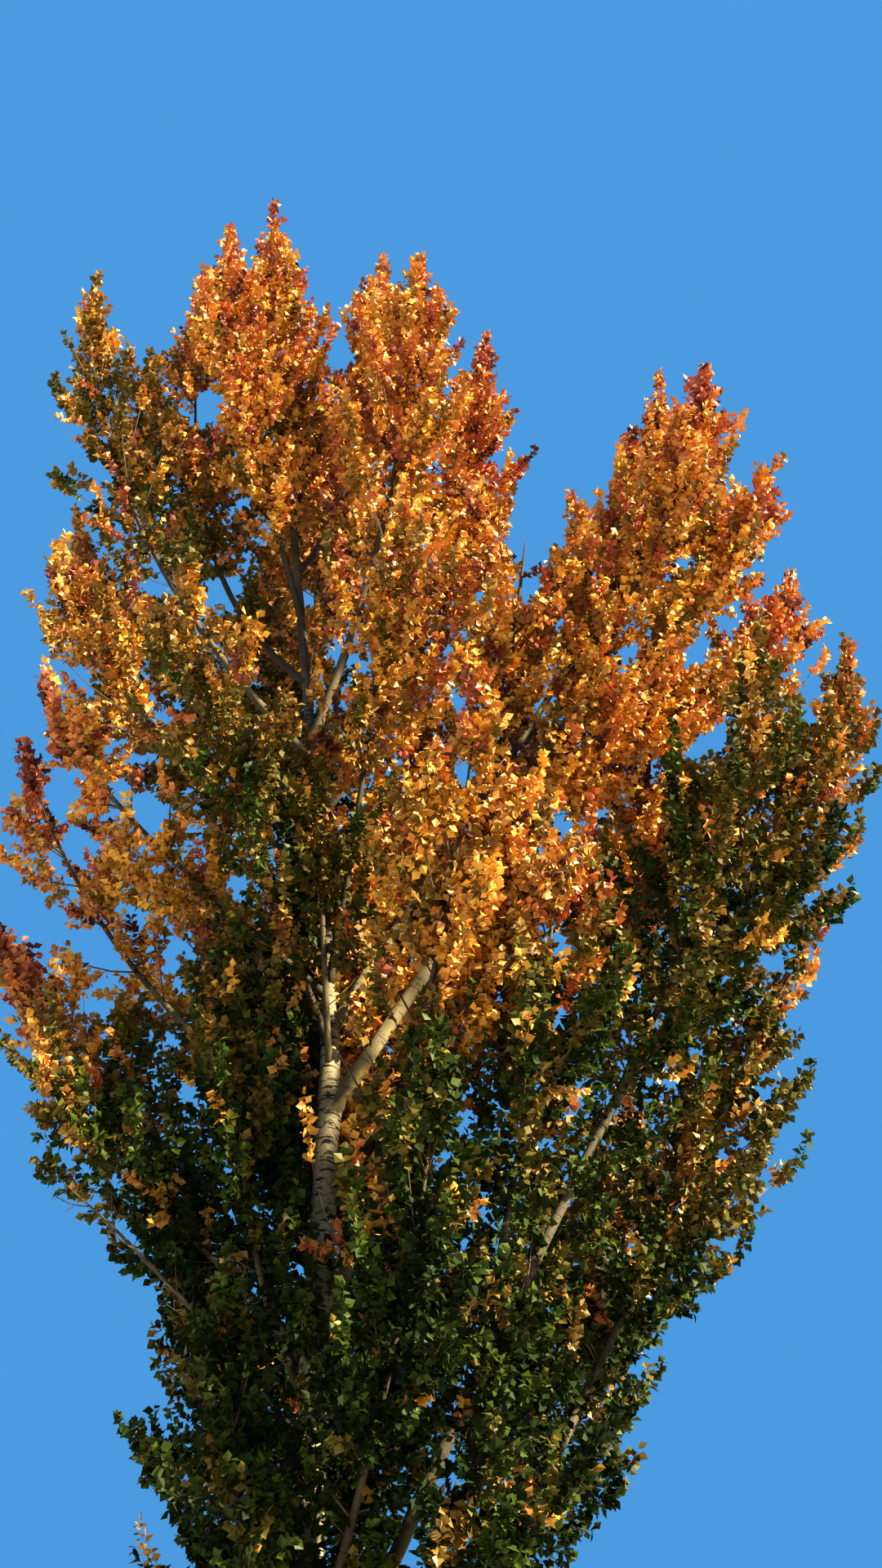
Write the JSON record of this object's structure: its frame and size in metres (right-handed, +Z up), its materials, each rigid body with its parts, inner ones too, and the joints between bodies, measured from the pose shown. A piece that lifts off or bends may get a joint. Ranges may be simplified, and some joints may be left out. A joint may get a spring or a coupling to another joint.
{
  "type": "deciduous tree",
  "caption": "Tall poplar tree in autumn leaf, with a pale straight trunk, steep boughs and a crown of upright flame-shaped masses of foliage.",
  "frame": {"origin": "middle of the flat cut under the trunk, at ground level", "axes": "+Z up along the foot of the trunk; -Y towards the side from which the tree is seen; +X to that view's right, where the second leader and the longest boughs reach"},
  "size_m": [9.1131, 5.9095, 22.3462],
  "materials": {
    "trunk_bark": "matt",
    "bough_bark": "matt",
    "dead_wood": "matt",
    "foliage_green": "matt",
    "foliage_olive": "matt",
    "foliage_gold": "matt",
    "foliage_orange": "matt"
  },
  "bodies": {
    "root": {"trunk": "trunk_bark", "bough_top_right": "bough_bark", "bough_left_spire": "bough_bark", "bough_left_spire_inner": "bough_bark", "bough_left_far": "bough_bark", "bough_right_stem": "bough_bark", "bough_right_inner": "bough_bark", "bough_right_spire": "bough_bark", "bough_right_edge": "bough_bark", "bough_right_centre": "bough_bark", "bough_right_side": "bough_bark", "bough_low_right": "bough_bark", "bough_low_right_outer": "bough_bark", "bough_low_right_inner": "bough_bark", "bough_lowest_right": "bough_bark", "bough_back_right_low": "bough_bark", "bough_centre_rise": "bough_bark", "bough_right_rise": "bough_bark", "dead_limb": "dead_wood", "foliage_leader": "foliage_orange", "foliage_top_left": "foliage_orange", "foliage_top_left_outer": "foliage_orange", "foliage_top_middle": "foliage_orange", "foliage_top_right": "foliage_gold", "foliage_top_right_outer": "foliage_gold", "foliage_top_back": "foliage_orange", "foliage_left_spire": "foliage_gold", "foliage_left_spire_inner": "foliage_orange", "foliage_left_high": "foliage_gold", "foliage_left_upper": "foliage_gold", "foliage_left_middle": "foliage_olive", "foliage_left_far": "foliage_olive", "foliage_left_wide": "foliage_olive", "foliage_left_low": "foliage_green", "foliage_left_lowest": "foliage_green", "foliage_front_left": "foliage_olive", "foliage_front_high": "foliage_olive", "foliage_back_high": "foliage_gold", "foliage_right_stem": "foliage_gold", "foliage_right_inner": "foliage_gold", "foliage_right_spire": "foliage_gold", "foliage_right_edge": "foliage_gold", "foliage_right_centre": "foliage_gold", "foliage_right_side": "foliage_olive", "foliage_low_right": "foliage_olive", "foliage_low_right_outer": "foliage_olive", "foliage_low_right_inner": "foliage_green", "foliage_lowest_right": "foliage_green", "foliage_back_right_low": "foliage_green", "foliage_front_low": "foliage_green", "foliage_front_low_right": "foliage_green", "foliage_front_right": "foliage_olive", "foliage_front_low_left": "foliage_green", "foliage_back_low": "foliage_green", "foliage_back_left": "foliage_olive", "foliage_back_right": "foliage_gold", "foliage_left_inner": "foliage_green", "foliage_front_middle": "foliage_olive", "foliage_centre_rise": "foliage_gold", "foliage_right_rise": "foliage_gold"}
  },
  "joints": []
}
